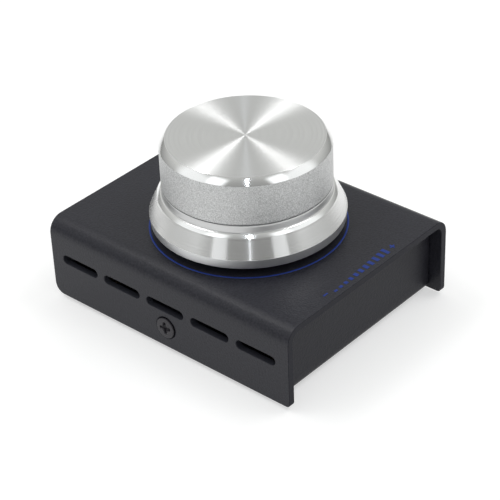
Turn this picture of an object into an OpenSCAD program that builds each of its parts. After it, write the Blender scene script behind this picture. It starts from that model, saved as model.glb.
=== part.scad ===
// Desk volume control: a folded sheet-metal case with a turned aluminium
// knob on a rotary encoder that also works as a push button.
// Millimetres. Front is -Y, right is +X, up is +Z. The origin is on the
// surface it stands on, under the middle of the case.

/* [Case] */
// Width of the case over the two side flanges
case_w = 60; // [52:0.5:80]
// Depth of the cover, front to back
case_d = 76; // [70:0.5:100]
// Height of the cover from its lower edges to its top face
cover_h = 21.3; // [20:0.1:30]
// Thickness of the cover's coated sheet
cover_t = 1.8; // [1.2:0.1:2.2]
// Outside radius of the cover's two bends
bend_r = 4; // [3:0.1:6]
// Radius of the flanges' lower corners at the back
back_corner_r = 2.8; // [0.5:0.1:5]
// Radius of the flanges' lower corners at the front
front_corner_r = 1; // [0.3:0.1:5]
// How far the tray's front and rear panels stand back under the cover
panel_recess = 3.5; // [2:0.1:6]
// Height of the feet under the case
foot_h = 1.2; // [0.8:0.1:3]
// Diameter of a foot
foot_d = 6; // [5:0.5:12]
// Distance of a foot's edge from the edge of the tray's bottom
foot_inset = 2; // [2:0.5:8]

/* [Slots and side screws] */
// Number of slots in each flange
slot_count = 5; // [1:1:5]
// Length of a slot over its round ends
slot_l = 11.8; // [4:0.1:13]
// Width of a slot
slot_h = 2.5; // [1:0.1:3]
// Distance from one slot to the next
slot_pitch = 14.1; // [13.5:0.1:14.5]
// Height of the slots above the cover's lower edges
slot_z = 11.3; // [10.8:0.1:13]
// Height of the side screws above the cover's lower edges
screw_z = 5.6; // [5:0.1:6]
// Thread diameter of the side screws
screw_d = 3; // [2:0.1:3.5]
// Length of a side screw, with its head
screw_l = 5; // [4.5:0.1:8]
// Diameter of a side screw's countersunk head
screw_head_d = 5.8; // [5:0.1:6]
// Diameter of the countersink in the flange
countersink_d = 6.2; // [5.6:0.1:6.6]
// How far the head stands proud of the flange
screw_proud = 0.4; // [0:0.05:0.5]

/* [Tray] */
// Thickness of the tray's coated sheet
tray_t = 1.5; // [1:0.1:2]
// Outside radius of the tray's bends
tray_bend_r = 2; // [2:0.1:3]
// Gap between the tray and each flange of the cover
tray_gap = 0.2; // [0.05:0.05:0.5]
// Length of a screw tab along the case
tab_l = 20; // [8:0.5:30]
// Height of a screw tab
tab_h = 9; // [8:0.1:9.4]
// Width of the relief cut at each end of a tab
tab_relief = 1.5; // [0.8:0.1:3]

/* [Knob] */
// Sideways place of the knob's axis
knob_x = -0.8; // [-3:0.1:3]
// Place of the knob's axis along the case
knob_y = -1.5; // [-3:0.1:3]
// Diameter of the knob over its foot band
knob_d = 47.8; // [42:0.1:50]
// Height of the knob
knob_h = 22; // [20:0.1:30]
// Gap between the top plate and the knob
knob_gap = 2.2; // [1.8:0.1:4]
// Diameter of the blasted grip band
grip_d = 41.2; // [36:0.1:42]
// Height of the plain foot band
foot_band_h = 2.4; // [1:0.1:4]
// Height of the turned cone over the foot band
cone_h = 4.6; // [3:0.1:5.5]
// Diameter of the cone where it meets the rolled shoulder
shoulder_d = 43.4; // [42.2:0.1:44]
// Height of the rolled shoulder
shoulder_h = 1.1; // [0.5:0.1:1.2]
// Height of the groove above the knob's underside
groove_z = 9.9; // [9.4:0.1:11]
// Width and depth of the groove
groove_w = 0.3; // [0.1:0.05:0.6]
// Width of the chamfer, seen from above
chamfer_w = 1.5; // [0.5:0.1:3]
// Height of the chamfer
chamfer_h = 1.7; // [0.5:0.1:3]
// Diameter of the recess under the knob
recess_d = 30; // [16:0.5:34]
// Depth of the recess under the knob
recess_h = 4.2; // [4:0.1:6]
// Thickness of metal between the shaft's bore and the knob's top
knob_roof = 5.5; // [3:0.1:6]
// Height of the grub screw above the knob's underside
grub_z = 13; // [12:0.1:16]
// Diameter of the grub screw
grub_d = 3; // [2:0.1:4]
// Length of the grub screw
grub_l = 8; // [4:0.5:12]

/* [Encoder] */
// Width and depth of the encoder's body
body_w = 11.6; // [11.4:0.1:13]
// Height of the push switch's housing
switch_h = 2.4; // [2.2:0.1:3]
// Height of the rotor's housing
base_h = 2; // [1.9:0.1:3]
// Height of the bushing's flange
flange_h = 2.2; // [2:0.1:3]
// Thickness of the encoder's stamped frame
frame_t = 0.4; // [0.3:0.05:0.6]
// Thread diameter of the bushing
bushing_d = 7; // [6.9:0.1:8]
// Length of the bushing above the frame
bushing_l = 7; // [5:0.1:7]
// Diameter of the shaft
shaft_d = 6; // [5:0.1:6.1]
// Length of the shaft above the frame
shaft_l = 20; // [16:0.1:21]
// Depth of the flat on the shaft
shaft_flat = 1.5; // [0.5:0.1:2]
// Length of the flat on the shaft
flat_l = 12; // [8:0.1:13]
// Travel of the push button
press_travel = 0.5; // [0.2:0.05:0.6]
// Diameter of the rotor
rotor_d = 9.6; // [8.6:0.1:9.8]
// Number of detent notches on the rotor
detents = 20; // [8:1:24]
// Thickness of the nut
nut_h = 2; // [1:0.1:2.4]
// Width of the nut across its flats
nut_af = 10; // [9:0.5:12]
// Diameter of the toothed lock washer
washer_d = 11.4; // [10:0.1:14]
// Thickness of the lock washer
washer_t = 0.5; // [0.3:0.1:0.8]

/* [Board] */
// Width of the circuit board
board_w = 44; // [40:0.5:50]
// Depth of the circuit board
board_d = 60; // [54:0.5:64]
// Thickness of the circuit board
board_t = 1.6; // [1:0.1:2]
// Gap between the board's rear edge and the rear panel
board_gap = 0.5; // [0.3:0.1:2]
// Distance of the board's fixing holes from its edges
hole_inset = 4.2; // [3.2:0.1:5]
// Thread diameter of the board screws
board_screw_d = 2.5; // [2:0.1:3]
// Length of a board screw under its head
board_screw_l = 6; // [4:0.5:8]
// Width of a hexagonal standoff across its flats
standoff_af = 5; // [4.6:0.1:5.5]
// Sideways place of the inlet on the rear edge
usb_x = 0; // [-10:0.5:10]
// Width of the inlet's shell
usb_w = 7.7; // [7:0.1:9]
// Height of the inlet's shell
usb_h = 3.9; // [3.4:0.1:4.4]
// Depth of the inlet's shell
usb_l = 9.2; // [8:0.1:12]

/* [Print] */
// Diameter of the printed ring, at the middle of its line
ring_d = 48; // [46:0.1:52]
// Width of the printed line
ring_line = 0.45; // [0.2:0.05:1]
// Thickness of the ink
ink_t = 0.05; // [0.03:0.01:0.1]
// Length of the printed scale
scale_l = 26.6; // [16:0.1:34]
// Height of the tallest bar of the scale
scale_h = 2.3; // [1:0.1:3]
// Distance of the scale from the cover's front edge
scale_inset = 1.5; // [0.5:0.1:4]
// Number of bars in the scale
scale_bars = 11; // [3:1:15]

/* [Fits] */
// Radial clearance of turning and sliding pieces
run_clear = 0.04; // [0.02:0.01:0.08]
// Radial clearance of a screw in its thread
thread_clear = 0.03; // [0.01:0.01:0.06]
// Clearance of fixed pieces in their seats
seat_clear = 0.1; // [0.05:0.05:0.2]

/* [Hidden] */
$fn = 64;
eps = 0.01;
// How far a cutting body reaches past the face that it cuts
over = 1;

// Case levels and half sizes
top_z = foot_h + cover_h;
under_z = top_z - cover_t;
floor_z = foot_h + tray_t;
tray_w = case_w - 2 * (cover_t + tray_gap);
tray_d = case_d - 2 * panel_recess;
panel_h = under_z - tray_gap - foot_h;
foot_chamfer = 0.3;
flange_screw_z = foot_h + screw_z;
slot_level = foot_h + slot_z;
clear_hole_d = screw_d + 0.4;
screw_rim = 0.25;
cross_w = 3.4;
cross_depth = 1.2;

// Encoder levels, from the board up
body_h = switch_h + base_h + flange_h + frame_t;
board_top = under_z - body_h;
board_z = board_top - board_t;
base_z = board_top + switch_h;
flange_z = base_z + base_h;
frame_z = flange_z + flange_h;
bore_d = shaft_d + 2 * run_clear;
housing_floor = 0.5;
switch_well_d = 6.8;
dome_d = 6.4;
dome_h = 0.8;
dome_t = 0.12;
plunger_d = 5;
plunger_disc_h = 0.5;
stem_d = 2.6;
dome_z = board_top + housing_floor;
plunger_z = dome_z + dome_h;
lead_in = 0.4;
shaft_chamfer = 0.5;
drive_d = 4.2;
drive_af = 3.2;
drive_hole_d = drive_d + 2 * seat_clear;
rotor_h = 1;
rotor_gap = 0.2;
rotor_z = base_z + housing_floor + rotor_gap;
rotor_well_d = rotor_d + 0.4;
pocket_h = 1.2;
pocket_d = 8;
washer_teeth = 12;
tooth_l = 1.2;
tooth_gap = 0.8;
clip_t = 0.4;
clip_gap = 2;
clip_d = 7.2;
clip_groove_d = 5;
clip_z = flange_z + pocket_h - clip_t - seat_clear / 2;
shoulder_z = clip_z - 0.2;
shaft_top = under_z + shaft_l;
notch_inset = 0.55;
detent_pitch_d = rotor_d - 2 * notch_inset;
notch_l = 1;
notch_w = 0.6;
notch_h = 0.25;
spring_t = 0.2;
spring_bump = 0.2;
bump_w = 0.5;
wiper_count = 3;
wiper_r = 3.4;
wiper_l = 3;
wiper_w = 0.8;
wiper_t = 0.15;
pin_w = 0.8;
pin_t = 0.3;
pin_reach = 1.5;
pin_under = 1;
pin_level = base_z + 0.4;
pin_pitch = 2.5;
pin_seat = 1;
pin_hole_d = 1.2;
frame_side_w = 7;
lug_w = 2;
lug_under = 0.9;

// Knob levels
foot_draft = 0.2;
grub_socket = 1.6;
knob_z = top_z + knob_gap;
knob_top = knob_z + knob_h;
recess_z = knob_z + recess_h;
bore_top = knob_top - knob_roof;

// Board layout
tray_inner_back = tray_d / 2 - tray_t;
board_back = tray_inner_back - board_gap;
board_y = board_back - board_d / 2;
hole_x = board_w / 2 - hole_inset;
hole_y = board_d / 2 - hole_inset;
standoff_h = board_z - floor_z;
spigot_step = 0.5;
spigot_d = standoff_af - 2 * spigot_step;
standoff_floor = 1;
board_hole_d = board_screw_d + 0.4;
board_head_d = 4.5;
board_head_h = 1.8;
usb_wall = 0.4;
usb_mouth_y = tray_d / 2 - tray_t / 2;
usb_open_clear = 0.4;
tongue_root = 2;
tongue_setback = 1.2;
tongue_t = 0.7;
chip_size = 7;
chip_h = 1.4;
chip_x = -10;
lead_w = 0.35;
lead_t = 0.15;
lead_l = 1;
lead_pitch = 0.8;
leads_on_side = 8;
row_gap = 2.2;
front_row_y = knob_y - body_w / 2 - pin_reach - row_gap - lead_l - chip_size / 2;
crystal_l = 11;
crystal_w = 4.6;
crystal_h = 3.5;
crystal_x = 4;
small_part_l = 2;
small_part_w = 1.2;
small_part_pitch = 2.6;
chip_capacitor_h = 0.9;
chip_resistor_h = 0.55;
resistor_x = 10;
can_d = 5;
can_h = 5.2;
can_seat_w = 5.3;
can_seat_h = 0.8;
can_x = 13;
can_setback = 12;
can_y = board_back - can_setback;

// ---------------------------------------------------------------- helpers

// Places its children at the knob's axis
module at_axis(z = 0) {
    translate([knob_x, knob_y, z]) children();
}

// Places its children at the left and at the right side
module both_sides() {
    for (s = [0, 180]) rotate([0, 0, s]) children();
}

// Places its children at the board's four fixing holes
module at_board_holes(z) {
    for (x = [-hole_x, hole_x], y = [-hole_y, hole_y])
        translate([x, board_y + y, z]) children();
}

// An arch: the outside of a sheet folded down at both ends
module arch(w, h, r) {
    translate([-w / 2, 0]) square([w, h - r]);
    translate([r - w / 2, 0]) square([w - 2 * r, h]);
    for (s = [-1, 1]) translate([s * (w / 2 - r), h - r]) circle(r);
}

// A straight slot with round ends
module slot_shape(l, h) {
    square([l - h, h], center = true);
    for (s = [-1, 1]) translate([s * (l - h) / 2, 0]) circle(d = h);
}

// A tube standing on z
module tube(d, hole, h) {
    difference() {
        cylinder(d = d, h = h);
        translate([0, 0, -eps]) cylinder(d = hole, h = h + 2 * eps);
    }
}

// A block centred on the axis that it stands round
module block(w, d, h) {
    translate([-w / 2, -d / 2, 0]) cube([w, d, h]);
}

// A round bar with two flats: what the shaft turns the rotor by
module drive_bar(d, af, h) {
    intersection() {
        cylinder(d = d, h = h);
        block(af, d + 1, h);
    }
}

// ------------------------------------------------------------------- case

// Outline of a flange, front to back and up, with its two lower corners
module flange_outline() {
    f = front_corner_r;
    b = back_corner_r;
    front = -case_d / 2;
    back = case_d / 2;
    translate([front, max(f, b)]) square([case_d, cover_h]);
    translate([front + f, 0]) square([case_d - f - b, cover_h]);
    translate([front, f]) square([case_d / 2, cover_h]);
    translate([0, b]) square([case_d / 2, cover_h]);
    translate([front + f, f]) circle(f);
    translate([back - b, b]) circle(b);
}

module cover() color([0.2, 0.2, 0.21]) {
    difference() {
        intersection() {
            translate([0, 0, foot_h]) rotate([90, 0, 0])
                linear_extrude(case_d, center = true) difference() {
                    arch(case_w, cover_h, bend_r);
                    translate([0, -eps])
                        arch(case_w - 2 * cover_t, cover_h - cover_t + eps, bend_r - cover_t);
                }
            translate([0, 0, foot_h]) rotate([90, 0, 90])
                linear_extrude(case_w + 2 * over, center = true) flange_outline();
        }
        for (i = [0 : slot_count - 1])
            translate([0, (i - (slot_count - 1) / 2) * slot_pitch, slot_level])
                rotate([90, 0, 90]) linear_extrude(case_w + 2 * over, center = true)
                    slot_shape(slot_l, slot_h);
        both_sides() translate([-case_w / 2, 0, flange_screw_z]) rotate([0, 90, 0]) {
            translate([0, 0, -eps]) cylinder(d = clear_hole_d, h = cover_t + 2 * eps);
            translate([0, 0, -eps])
                cylinder(d1 = countersink_d, d2 = clear_hole_d,
                         h = (countersink_d - clear_hole_d) / 2);
        }
        at_axis(under_z - over)
            cylinder(d = bushing_d + 2 * seat_clear, h = cover_t + 2 * over);
    }
}

// One L-shaped screw tab on the left, with its bend to the tray's bottom
module screw_tab() {
    r = tray_bend_r;
    translate([-tray_w / 2, 0, foot_h]) rotate([90, 0, 0])
        linear_extrude(tab_l, center = true) difference() {
            union() {
                translate([r, 0]) square([r + over, tray_t]);
                translate([0, r]) square([tray_t, tab_h - r]);
                intersection() {
                    translate([r, r]) circle(r);
                    square(r);
                }
            }
            translate([r, r]) circle(r - tray_t);
        }
}

// Section of the tray, front to back: its bottom and its two panels
module tray_section() {
    mirror([0, 1]) translate([0, -panel_h]) difference() {
        arch(tray_d, panel_h, tray_bend_r);
        translate([0, -eps])
            arch(tray_d - 2 * tray_t, panel_h - tray_t + eps, tray_bend_r - tray_t);
    }
}

module chassis() color([0.16, 0.16, 0.17]) {
    difference() {
        union() {
            difference() {
                intersection() {
                    translate([0, 0, foot_h]) rotate([90, 0, 90])
                        linear_extrude(tray_w, center = true) tray_section();
                    // The panels' top corners follow the inside of the cover's bends
                    translate([0, 0, foot_h]) rotate([90, 0, 0])
                        linear_extrude(tray_d + 2 * over, center = true)
                            arch(tray_w, panel_h, bend_r - cover_t);
                }
                both_sides() translate([-tray_w / 2 - over, -tab_l / 2 - tab_relief, foot_h - over])
                    cube([tray_bend_r + over, tab_l + 2 * tab_relief, tray_t + 2 * over]);
            }
            both_sides() screw_tab();
        }
        both_sides() translate([-tray_w / 2 - over, 0, flange_screw_z]) rotate([0, 90, 0])
            cylinder(d = screw_d + 2 * thread_clear, h = tray_t + 2 * over);
        at_board_holes(foot_h - over)
            cylinder(d = spigot_d + 2 * thread_clear, h = tray_t + 2 * over);
        translate([usb_x, tray_d / 2, board_top + usb_h / 2])
            inlet_opening(usb_w + 2 * usb_open_clear, usb_h + 2 * usb_open_clear);
    }
}

// The inlet's opening through the rear panel
module inlet_opening(w, h) {
    translate([-w / 2, -tray_t - over, -h / 2]) cube([w, tray_t + 2 * over, h]);
}

// Cross-shaped driver recess, cut down from z = 0
module cross_recess(w, depth) {
    arm = w / 4;
    translate([0, 0, -depth]) {
        block(w, arm, depth + eps);
        block(arm, w, depth + eps);
        cylinder(d1 = arm, d2 = 2.2 * arm, h = depth + eps);
    }
}

module cover_screws() color([0.17, 0.17, 0.18]) {
    cone_len = (screw_head_d - screw_d) / 2;
    both_sides() translate([-case_w / 2 - screw_proud, 0, flange_screw_z])
        rotate([0, -90, 0]) difference() {
            union() {
                translate([0, 0, -screw_rim]) cylinder(d = screw_head_d, h = screw_rim);
                translate([0, 0, -screw_rim - cone_len])
                    cylinder(d1 = screw_d, d2 = screw_head_d, h = cone_len);
                translate([0, 0, -screw_l]) cylinder(d = screw_d, h = screw_l - screw_rim);
            }
            cross_recess(cross_w, cross_depth);
        }
}

module rubber_feet() color([0.1, 0.1, 0.1]) {
    x = tray_w / 2 - foot_inset - foot_d / 2;
    y = tray_d / 2 - foot_inset - foot_d / 2;
    for (sx = [-1, 1], sy = [-1, 1]) translate([sx * x, sy * y, 0]) {
        cylinder(d1 = foot_d - 2 * foot_chamfer, d2 = foot_d, h = foot_chamfer);
        translate([0, 0, foot_chamfer]) cylinder(d = foot_d, h = foot_h - foot_chamfer);
    }
}

// ------------------------------------------------------------------ board

module standoffs() color([0.78, 0.65, 0.3])
    at_board_holes(foot_h) difference() {
        union() {
            cylinder(d = spigot_d, h = tray_t + eps);
            translate([0, 0, tray_t])
                cylinder(d = standoff_af / cos(30), h = standoff_h, $fn = 6);
        }
        translate([0, 0, tray_t + standoff_floor])
            cylinder(d = board_screw_d + 2 * thread_clear, h = standoff_h);
    }

module circuit_board() color([0.05, 0.3, 0.16]) {
    difference() {
        translate([0, board_y, board_z]) block(board_w, board_d, board_t);
        at_board_holes(board_z - over) cylinder(d = board_hole_d, h = board_t + 2 * over);
        at_pins() translate([0, 0, board_z - over])
            cylinder(d = pin_hole_d, h = board_t + 2 * over);
        at_axis(board_z - over) for (s = [-1, 1])
            translate([s * (body_w + frame_t) / 2, 0, 0])
                block(frame_t + 2 * seat_clear, lug_w + 2 * seat_clear, board_t + 2 * over);
    }
}

module board_screws() color([0.75, 0.75, 0.77])
    at_board_holes(board_top) difference() {
        union() {
            translate([0, 0, -board_screw_l]) cylinder(d = board_screw_d, h = board_screw_l + eps);
            cylinder(d = board_head_d, h = board_head_h);
        }
        translate([0, 0, board_head_h]) cross_recess(board_screw_d, board_head_h / 2);
    }

module microcontroller() color([0.12, 0.12, 0.13]) {
    last = (leads_on_side - 1) / 2;
    translate([chip_x, front_row_y, board_top]) {
        translate([0, 0, lead_t]) block(chip_size, chip_size, chip_h);
        for (a = [0, 90], i = [-last : last]) rotate([0, 0, a])
            translate([i * lead_pitch, 0, 0]) {
                block(lead_w, chip_size + 2 * lead_l, lead_t);
                block(lead_w, chip_size + 3 * lead_t, chip_h / 2);
            }
    }
}

module crystal() color([0.8, 0.8, 0.82])
    translate([crystal_x, front_row_y, board_top])
        linear_extrude(crystal_h) slot_shape(crystal_l, crystal_w);

module electrolytic_capacitors() color([0.75, 0.76, 0.8])
    for (s = [-1, 1]) translate([s * can_x, can_y, board_top]) {
        block(can_seat_w, can_seat_w, can_seat_h);
        cylinder(d = can_d, h = can_h);
    }

// A row of n small parts on the board
module small_parts(n, x, y, h) {
    for (i = [0 : n - 1])
        translate([x + i * small_part_pitch, y, board_top])
            block(small_part_w, small_part_l, h);
}

module chip_capacitors() color([0.75, 0.62, 0.45])
    small_parts(4, -1.5 * small_part_pitch, can_y, chip_capacitor_h);

module chip_resistors() color([0.1, 0.1, 0.11])
    small_parts(4, resistor_x, knob_y, chip_resistor_h);

module usb_shell() color([0.8, 0.8, 0.82])
    translate([usb_x, usb_mouth_y - usb_l, board_top]) difference() {
        translate([-usb_w / 2, 0, 0]) cube([usb_w, usb_l, usb_h]);
        translate([usb_wall - usb_w / 2, usb_wall, usb_wall])
            cube([usb_w - 2 * usb_wall, usb_l, usb_h - 2 * usb_wall]);
    }

module usb_tongue() color([0.1, 0.1, 0.1])
    translate([usb_x, usb_mouth_y - usb_l + usb_wall, board_top + usb_wall]) {
        translate([usb_wall - usb_w / 2 + eps, 0, 0])
            cube([usb_w - 2 * usb_wall - 2 * eps, tongue_root, usb_h - 2 * usb_wall]);
        translate([-usb_w / 4, 0, (usb_h - 2 * usb_wall) / 2])
            cube([usb_w / 2, usb_l - 2 * usb_wall - tongue_setback, tongue_t]);
    }

// ---------------------------------------------------------------- encoder

// Places its children at the five terminal pins: three in front, two behind
module at_pins() {
    y = body_w / 2 + pin_reach - pin_t / 2;
    at_axis() {
        for (i = [-1, 0, 1]) translate([i * pin_pitch, -y, 0]) children();
        for (i = [-1, 1]) translate([i * pin_pitch, y, 0]) rotate([0, 0, 180]) children();
    }
}

module switch_housing() color([0.1, 0.1, 0.11])
    at_axis(board_top) difference() {
        block(body_w, body_w, switch_h);
        translate([0, 0, housing_floor]) cylinder(d = switch_well_d, h = switch_h);
    }

module snap_dome() color([0.85, 0.85, 0.86])
    at_axis(dome_z) difference() {
        cylinder(d1 = dome_d, d2 = dome_d / 2, h = dome_h);
        translate([0, 0, -dome_t]) cylinder(d1 = dome_d, d2 = dome_d / 2, h = dome_h);
    }

module switch_plunger() color([0.9, 0.9, 0.88])
    at_axis(plunger_z) {
        cylinder(d = plunger_d, h = plunger_disc_h);
        cylinder(d = stem_d, h = base_z - plunger_z);
    }

module encoder_base() color([0.13, 0.13, 0.14])
    at_axis(base_z) difference() {
        block(body_w, body_w, base_h);
        translate([0, 0, housing_floor]) cylinder(d = rotor_well_d, h = base_h);
        translate([0, 0, -1]) cylinder(d = drive_hole_d + 0.2, h = base_h);
        // Pockets that hold the terminals' inner ends
        for (i = [-1, 0, 1])
            translate([i * pin_pitch, -body_w / 2, pin_level - base_z]) pin_pocket();
        for (i = [-1, 1])
            translate([i * pin_pitch, body_w / 2, pin_level - base_z]) pin_pocket();
    }

module pin_pocket() {
    block(pin_w + 2 * eps, pin_seat, pin_t + 2 * eps);
}

module contact_wipers() color([0.82, 0.68, 0.3])
    at_axis(base_z + housing_floor)
        for (i = [1 : wiper_count]) rotate([0, 0, i * 360 / wiper_count])
            translate([0, wiper_r, 0]) block(wiper_l, wiper_w, wiper_t);

module encoder_rotor() color([0.85, 0.83, 0.78])
    at_axis(rotor_z) difference() {
        cylinder(d = rotor_d, h = rotor_h);
        translate([0, 0, -over])
            drive_bar(drive_hole_d, drive_af + 2 * seat_clear, rotor_h + 2 * over);
        for (i = [0 : detents - 1]) rotate([0, 0, (i + 0.5) * 360 / detents])
            translate([detent_pitch_d / 2, 0, rotor_h - notch_h])
                block(notch_l, notch_w, notch_h + over);
    }

module detent_spring() color([0.8, 0.78, 0.72])
    at_axis(flange_z) {
        tube(rotor_d - 0.2, pocket_d + 0.2, spring_t);
        for (s = [-1, 1]) translate([0, s * detent_pitch_d / 2, -spring_bump])
            block(bump_w, bump_w, spring_bump + eps);
    }

module encoder_bushing() color([0.72, 0.73, 0.75])
    at_axis(flange_z) difference() {
        union() {
            block(body_w, body_w, flange_h);
            cylinder(d = bushing_d, h = flange_h + frame_t + bushing_l - lead_in);
            translate([0, 0, flange_h + frame_t + bushing_l - lead_in])
                cylinder(d1 = bushing_d, d2 = bushing_d - 2 * lead_in, h = lead_in);
        }
        translate([0, 0, -over])
            cylinder(d = bore_d, h = flange_h + frame_t + bushing_l + 2 * over);
        translate([0, 0, -eps]) cylinder(d = pocket_d, h = pocket_h + eps);
        translate([0, 0, -eps]) cylinder(d = rotor_d, h = spring_t + eps);
    }

module encoder_frame() color([0.78, 0.79, 0.8])
    at_axis() {
        side = body_w / 2;
        difference() {
            translate([0, 0, frame_z]) block(body_w + 2 * frame_t, body_w, frame_t);
            translate([0, 0, frame_z - over])
                cylinder(d = bushing_d + 2 * seat_clear, h = frame_t + 2 * over);
        }
        for (s = [-1, 1]) translate([s * (side + frame_t / 2), 0, 0]) {
            translate([0, 0, board_top]) block(frame_t, frame_side_w, body_h - frame_t + eps);
            translate([0, 0, board_z - lug_under])
                block(frame_t, lug_w, board_t + lug_under + eps);
        }
    }

module encoder_terminals() color([0.8, 0.78, 0.7])
    at_pins() {
        translate([0, (pin_reach - pin_t + pin_seat / 2) / 2, pin_level])
            block(pin_w, pin_reach + pin_seat / 2, pin_t);
        translate([0, 0, board_z - pin_under])
            block(pin_w, pin_t, pin_level - board_z + pin_under + eps);
    }

module lock_washer() color([0.8, 0.8, 0.8])
    at_axis(top_z) difference() {
        cylinder(d = washer_d, h = washer_t);
        translate([0, 0, -over])
            cylinder(d = bushing_d + 2 * seat_clear, h = washer_t + 2 * over);
        for (i = [1 : washer_teeth]) rotate([0, 0, i * 360 / washer_teeth])
            translate([washer_d / 2, 0, -over]) block(tooth_l, tooth_gap, washer_t + 2 * over);
    }

module encoder_nut() color([0.75, 0.75, 0.77])
    at_axis(top_z + washer_t) difference() {
        cylinder(d = nut_af / cos(30), h = nut_h, $fn = 6);
        translate([0, 0, -over])
            cylinder(d = bushing_d + 2 * thread_clear, h = nut_h + 2 * over);
    }

module shaft() color([0.8, 0.8, 0.82])
    at_axis() difference() {
        union() {
            translate([0, 0, base_z])
                drive_bar(drive_d, drive_af, shoulder_z - base_z + eps);
            translate([0, 0, shoulder_z])
                cylinder(d = shaft_d, h = shaft_top - shoulder_z - shaft_chamfer);
            translate([0, 0, shaft_top - shaft_chamfer])
                cylinder(d1 = shaft_d, d2 = shaft_d - 2 * shaft_chamfer, h = shaft_chamfer);
        }
        translate([0, 0, clip_z - seat_clear / 2])
            tube(shaft_d + 2 * over, clip_groove_d, clip_t + seat_clear);
        translate([-shaft_d, shaft_d / 2 - shaft_flat, shaft_top - flat_l])
            cube([2 * shaft_d, shaft_d, flat_l + over]);
    }

module shaft_clip() color([0.7, 0.7, 0.72])
    at_axis(clip_z) difference() {
        tube(clip_d, clip_groove_d + 2 * thread_clear, clip_t);
        translate([0, -clip_d / 2, -over]) block(clip_gap, clip_d / 2, clip_t + 2 * over);
    }

// ------------------------------------------------------------------- knob

// Half section of the knob, from its axis out
module knob_section() {
    foot_r = knob_d / 2;
    grip_r = grip_d / 2;
    cone_z = foot_band_h + cone_h;
    roll_z = cone_z + shoulder_h;
    roll_w = shoulder_d / 2 - grip_r;
    difference() {
        union() {
            polygon([
                [0, 0], [foot_r - foot_draft, 0], [foot_r, foot_band_h],
                [shoulder_d / 2, cone_z], [grip_r, cone_z],
                [grip_r, knob_h - chamfer_h], [grip_r - chamfer_w, knob_h], [0, knob_h]
            ]);
            // The rolled shoulder: a quarter ellipse from the cone in to the grip
            polygon(concat([[grip_r - over, cone_z]], [for (a = [0 : 15 : 90])
                [grip_r + roll_w * cos(a), cone_z + (roll_z - cone_z) * sin(a)]],
                [[grip_r - over, roll_z]]));
        }
        translate([grip_r - groove_w, groove_z - groove_w / 2]) square([over, groove_w]);
    }
}

module knob() color([0.8, 0.81, 0.82])
    at_axis(knob_z) difference() {
        rotate_extrude($fn = 128) knob_section();
        translate([0, 0, -over]) cylinder(d = recess_d, h = recess_h + over);
        cylinder(d = bore_d, h = bore_top - knob_z);
        translate([0, 0, grub_z]) rotate([-90, 0, 0])
            cylinder(d = grub_d + 2 * thread_clear, h = knob_d);
    }

module grub_screw() color([0.25, 0.25, 0.27])
    at_axis(knob_z + grub_z)
        translate([0, shaft_d / 2 - shaft_flat + eps, 0]) rotate([-90, 0, 0])
            difference() {
                cylinder(d = grub_d, h = grub_l);
                translate([0, 0, grub_l - grub_socket])
                    cylinder(d = grub_d / 2 / cos(30), h = grub_socket + over, $fn = 6);
            }

// ------------------------------------------------------------------ print

module ring_print() color([0.15, 0.25, 0.6])
    at_axis(top_z) tube(ring_d + ring_line, ring_d - ring_line, ink_t);

// A level scale: a minus sign, bars that grow to the right, a plus sign
module scale_print() color([0.15, 0.25, 0.6])
    translate([knob_x, scale_inset - case_d / 2, top_z]) {
        line = 0.4;
        sign_w = 1.5;
        sign_gap = 1;
        step = (scale_l - 2 * (sign_w + sign_gap)) / scale_bars;
        mid = scale_h / 2;
        ends = scale_l / 2 - sign_w / 2;
        translate([-ends, mid, 0]) block(sign_w, line, ink_t);
        translate([ends, mid, 0]) {
            block(sign_w, line, ink_t);
            block(line, sign_w, ink_t);
        }
        for (i = [0 : scale_bars - 1]) {
            bar_h = scale_h * (0.25 + 0.75 * i / (scale_bars - 1));
            translate([(i - (scale_bars - 1) / 2) * step - step / 4, 0, 0])
                cube([step / 2, bar_h, ink_t]);
        }
    }

cover();
chassis();
cover_screws();
rubber_feet();
standoffs();
circuit_board();
board_screws();
microcontroller();
crystal();
electrolytic_capacitors();
chip_capacitors();
chip_resistors();
usb_shell();
usb_tongue();
switch_housing();
snap_dome();
switch_plunger();
encoder_base();
contact_wipers();
encoder_rotor();
detent_spring();
encoder_bushing();
encoder_frame();
encoder_terminals();
lock_washer();
encoder_nut();
shaft();
shaft_clip();
knob();
grub_screw();
ring_print();
scale_print();
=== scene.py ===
"""Desk volume control: a black folded case and a turned aluminium knob, dressed for the render.

Lengths here are in millimetres, and put_mesh turns them into metres. Front is -Y, right is +X.
Every piece is a surface worked out as arrays: a blank that is cut and folded, or a section that is turned.
"""
import math

import bmesh
import bpy
import numpy as np
from mathutils import Matrix, Vector


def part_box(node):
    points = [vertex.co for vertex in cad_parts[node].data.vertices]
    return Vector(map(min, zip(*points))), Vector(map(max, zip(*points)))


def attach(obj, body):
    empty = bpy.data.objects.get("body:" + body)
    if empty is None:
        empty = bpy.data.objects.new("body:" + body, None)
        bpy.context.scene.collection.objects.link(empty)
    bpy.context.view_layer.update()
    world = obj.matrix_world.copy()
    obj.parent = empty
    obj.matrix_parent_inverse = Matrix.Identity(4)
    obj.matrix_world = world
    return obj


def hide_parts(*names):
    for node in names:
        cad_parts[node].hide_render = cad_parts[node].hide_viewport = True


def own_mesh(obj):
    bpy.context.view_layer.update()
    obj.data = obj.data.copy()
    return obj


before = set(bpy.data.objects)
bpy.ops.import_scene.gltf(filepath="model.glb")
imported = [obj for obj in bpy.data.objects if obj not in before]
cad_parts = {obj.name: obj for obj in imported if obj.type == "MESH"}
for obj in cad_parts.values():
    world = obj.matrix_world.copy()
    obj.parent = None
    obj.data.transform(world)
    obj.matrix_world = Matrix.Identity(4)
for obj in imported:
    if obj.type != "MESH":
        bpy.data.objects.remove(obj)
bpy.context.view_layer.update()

MM = 0.001
TAU = 2 * math.pi
RIGHT_ANGLE = math.pi / 2

# ------------------------------------------------------------------ measures


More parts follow.
